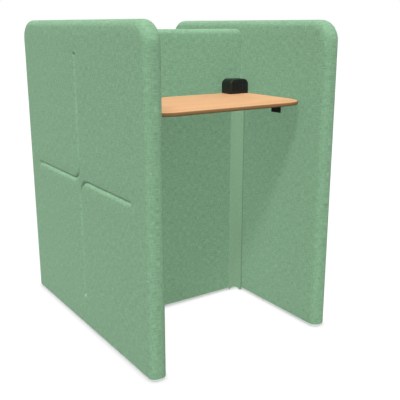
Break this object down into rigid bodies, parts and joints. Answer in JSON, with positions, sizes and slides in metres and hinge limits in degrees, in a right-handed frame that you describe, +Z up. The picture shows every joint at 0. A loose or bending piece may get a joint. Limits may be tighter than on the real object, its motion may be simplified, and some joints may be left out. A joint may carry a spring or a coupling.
{
  "type": "acoustic office pod",
  "caption": "Open acoustic pod for standing work: padded side panels and a padded middle panel in an H plan, with a worktop, power box and cable duct in each niche, on levelling glides.",
  "frame": {"origin": "on the floor, under the middle of the pod", "axes": "+Z up, +X across the pod to the right seen from the front niche, +Y from the front niche to the rear niche"},
  "size_m": [0.95, 1.24, 1.4],
  "materials": {
    "fabric": "woven melange wool-look upholstery over foam",
    "duct_fabric": "the same cloth over a thin bent cover",
    "core_board": "bare particle board",
    "base_strip": "satin pale grey",
    "worktop": "beech-toned board, satin",
    "black_metal": "matt black powder coat",
    "black_plastic": "fine-textured black",
    "zinc": "zinc plated"
  },
  "bodies": {
    "pod": {"front_back_bracket": "black_metal", "front_back_bracket_board_screw": "black_metal", "front_back_bracket_panel_screw": "black_metal", "front_cable_duct": "duct_fabric", "front_cable_spigot": "black_plastic", "front_left_bracket": "black_metal", "front_left_bracket_board_screw": "black_metal", "front_left_bracket_panel_screw": "black_metal", "front_power_housing": "black_plastic", "front_right_bracket": "black_metal", "front_right_bracket_board_screw": "black_metal", "front_right_bracket_panel_screw": "black_metal", "front_socket_module": "black_plastic", "front_spigot_nut": "black_plastic", "front_usb_module": "black_plastic", "front_worktop": "worktop", "left_base_strip": "base_strip", "left_front_glide_insert": "zinc", "left_joining_stud_1": "zinc", "left_joining_stud_2": "zinc", "left_joining_stud_3": "zinc", "left_panel_core": "core_board", "left_panel_inner_pad": "fabric", "left_panel_outer_pad": "fabric", "left_rear_glide_insert": "zinc", "middle_base_strip": "base_strip", "middle_front_pad": "fabric", "middle_panel_core": "core_board", "middle_rear_pad": "fabric", "rear_back_bracket": "black_metal", "rear_back_bracket_board_screw": "black_metal", "rear_back_bracket_panel_screw": "black_metal", "rear_cable_duct": "duct_fabric", "rear_cable_spigot": "black_plastic", "rear_left_bracket": "black_metal", "rear_left_bracket_board_screw": "black_metal", "rear_left_bracket_panel_screw": "black_metal", "rear_power_housing": "black_plastic", "rear_right_bracket": "black_metal", "rear_right_bracket_board_screw": "black_metal", "rear_right_bracket_panel_screw": "black_metal", "rear_socket_module": "black_plastic", "rear_spigot_nut": "black_plastic", "rear_usb_module": "black_plastic", "rear_worktop": "worktop", "right_base_strip": "base_strip", "right_front_glide_insert": "zinc", "right_joining_stud_1": "zinc", "right_joining_stud_2": "zinc", "right_joining_stud_3": "zinc", "right_panel_core": "core_board", "right_panel_inner_pad": "fabric", "right_panel_outer_pad": "fabric", "right_rear_glide_insert": "zinc"},
    "left_front_glide_body": {"left_front_glide": "black_plastic"},
    "left_rear_glide_body": {"left_rear_glide": "black_plastic"},
    "right_front_glide_body": {"right_front_glide": "black_plastic"},
    "right_rear_glide_body": {"right_rear_glide": "black_plastic"}
  },
  "joints": [
    {"name": "left_front_glide_height", "type": "slide", "parent": "pod", "child": "left_front_glide_body", "axis": [0, 0, -1], "range_m": [0, 0.012]},
    {"name": "left_rear_glide_height", "type": "slide", "parent": "pod", "child": "left_rear_glide_body", "axis": [0, 0, -1], "range_m": [0, 0.012]},
    {"name": "right_front_glide_height", "type": "slide", "parent": "pod", "child": "right_front_glide_body", "axis": [0, 0, -1], "range_m": [0, 0.012]},
    {"name": "right_rear_glide_height", "type": "slide", "parent": "pod", "child": "right_rear_glide_body", "axis": [0, 0, -1], "range_m": [0, 0.012]}
  ]
}
